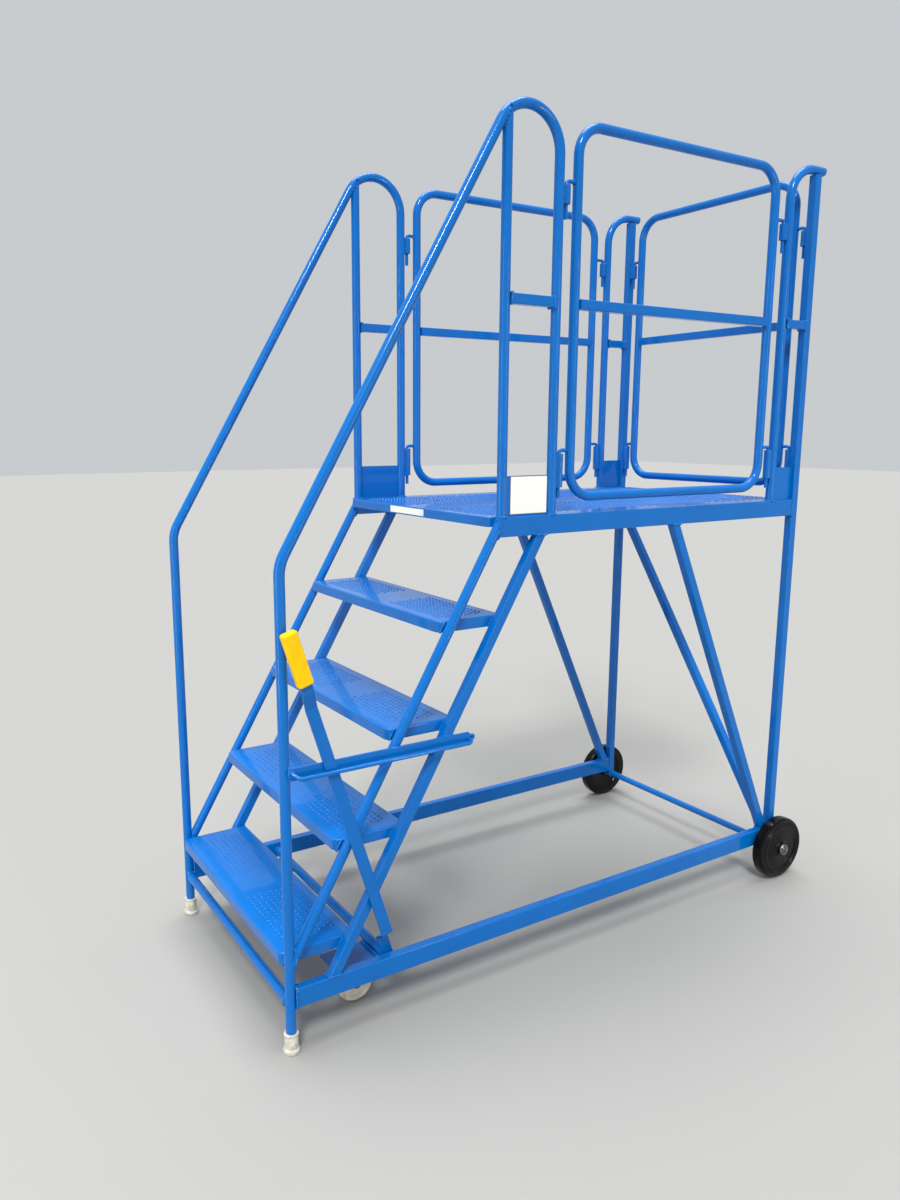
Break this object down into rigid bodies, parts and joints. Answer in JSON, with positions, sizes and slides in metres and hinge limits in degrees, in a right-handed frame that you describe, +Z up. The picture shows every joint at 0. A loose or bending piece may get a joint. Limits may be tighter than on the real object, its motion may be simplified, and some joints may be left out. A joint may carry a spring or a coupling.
{
  "type": "mobile ladder stand",
  "caption": "Wheeled access stand with sheet-metal treads, sloping tube handrails and a guarded work platform; lift-off side and rear guards, lever-lowered front castors.",
  "frame": {"origin": "centre of the stand's footprint, on the floor", "axes": "+X to the climber's right, where the hand lever is; +Y the climbing direction, towards the platform's rear guard; +Z up"},
  "size_m": [0.904, 1.8576, 2.2255],
  "materials": {
    "blue_paint": "gloss",
    "yellow_grip": "satin",
    "black_rubber": "satin",
    "black_plastic": "satin",
    "grey_ferrule": "matte",
    "white_nylon": "satin",
    "white_label": "satin",
    "zinc_steel": "satin"
  },
  "bodies": {
    "frame": {"base_rail_left": "blue_paint", "base_rail_right": "blue_paint", "front_cross_tube": "blue_paint", "foot_left": "grey_ferrule", "foot_right": "grey_ferrule", "handrail_left": "blue_paint", "handrail_right": "blue_paint", "front_post_left": "blue_paint", "front_post_right": "blue_paint", "front_stringer_left": "blue_paint", "front_stringer_right": "blue_paint", "rear_stringer_left": "blue_paint", "rear_stringer_right": "blue_paint", "tread_1": "blue_paint", "tread_2": "blue_paint", "tread_3": "blue_paint", "tread_4": "blue_paint", "platform_deck": "blue_paint", "platform_beam_left": "blue_paint", "platform_beam_right": "blue_paint", "deck_bearer_1": "blue_paint", "deck_bearer_2": "blue_paint", "handrail_midrail_left": "blue_paint", "handrail_midrail_right": "blue_paint", "rear_midrail_left": "blue_paint", "rear_midrail_right": "blue_paint", "front_kick_plate_left": "blue_paint", "front_kick_plate_right": "blue_paint", "rear_kick_plate_left": "blue_paint", "rear_kick_plate_right": "blue_paint", "rear_post_left": "blue_paint", "rear_post_right": "blue_paint", "rear_hoop_left": "blue_paint", "rear_hoop_right": "blue_paint", "side_brace_left": "blue_paint", "side_brace_right": "blue_paint", "rear_brace": "blue_paint", "rear_axle": "blue_paint", "hub_cap_left": "zinc_steel", "hub_cap_right": "zinc_steel", "lever_guide": "blue_paint"},
    "lift_off_guard_left": {"guard_left": "blue_paint", "guard_midrail_left": "blue_paint"},
    "lift_off_guard_right": {"guard_right": "blue_paint", "guard_midrail_right": "blue_paint"},
    "lift_off_guard_rear": {"guard_rear": "blue_paint", "guard_midrail_rear": "blue_paint"},
    "castor_lever": {"castor_bar": "blue_paint", "hand_lever": "blue_paint", "lever_grip": "yellow_grip"},
    "castor_swivel_left": {"castor_fork_left": "zinc_steel", "castor_axle_left": "zinc_steel"},
    "castor_roller_left": {"castor_wheel_left": "white_nylon"},
    "rear_wheel_left": {"rear_tyre_left": "black_rubber", "rear_wheel_hub_left": "black_plastic"},
    "castor_swivel_right": {"castor_fork_right": "zinc_steel", "castor_axle_right": "zinc_steel"},
    "castor_roller_right": {"castor_wheel_right": "white_nylon"},
    "rear_wheel_right": {"rear_tyre_right": "black_rubber", "rear_wheel_hub_right": "black_plastic"}
  },
  "joints": [
    {"name": "guard_lift_left", "type": "slide", "parent": "frame", "child": "lift_off_guard_left", "axis": [0, 0, 1], "range_m": [0, 0.12]},
    {"name": "guard_lift_right", "type": "slide", "parent": "frame", "child": "lift_off_guard_right", "axis": [0, 0, 1], "range_m": [0, 0.12]},
    {"name": "guard_lift_rear", "type": "slide", "parent": "frame", "child": "lift_off_guard_rear", "axis": [0, 0, 1], "range_m": [0, 0.12]},
    {"name": "lever_swing", "type": "hinge", "parent": "frame", "child": "castor_lever", "pos_m": [0, -0.6238, 0.139], "axis": [1, 0, 0], "range_deg": [-35, 5]},
    {"name": "castor_swivel_turn_left", "type": "hinge", "parent": "castor_lever", "child": "castor_swivel_left", "pos_m": [-0.274, -0.7178, 0.115], "axis": [0, 0, 1], "continuous": true},
    {"name": "castor_roll_left", "type": "hinge", "parent": "castor_swivel_left", "child": "castor_roller_left", "pos_m": [-0.274, -0.6858, 0.052], "axis": [1, 0, 0], "continuous": true},
    {"name": "rear_wheel_roll_left", "type": "hinge", "parent": "frame", "child": "rear_wheel_left", "pos_m": [-0.413, 0.8272, 0.1016], "axis": [1, 0, 0], "continuous": true},
    {"name": "castor_swivel_turn_right", "type": "hinge", "parent": "castor_lever", "child": "castor_swivel_right", "pos_m": [0.274, -0.7178, 0.115], "axis": [0, 0, 1], "continuous": true},
    {"name": "castor_roll_right", "type": "hinge", "parent": "castor_swivel_right", "child": "castor_roller_right", "pos_m": [0.274, -0.6858, 0.052], "axis": [1, 0, 0], "continuous": true},
    {"name": "rear_wheel_roll_right", "type": "hinge", "parent": "frame", "child": "rear_wheel_right", "pos_m": [0.413, 0.8272, 0.1016], "axis": [1, 0, 0], "continuous": true}
  ]
}
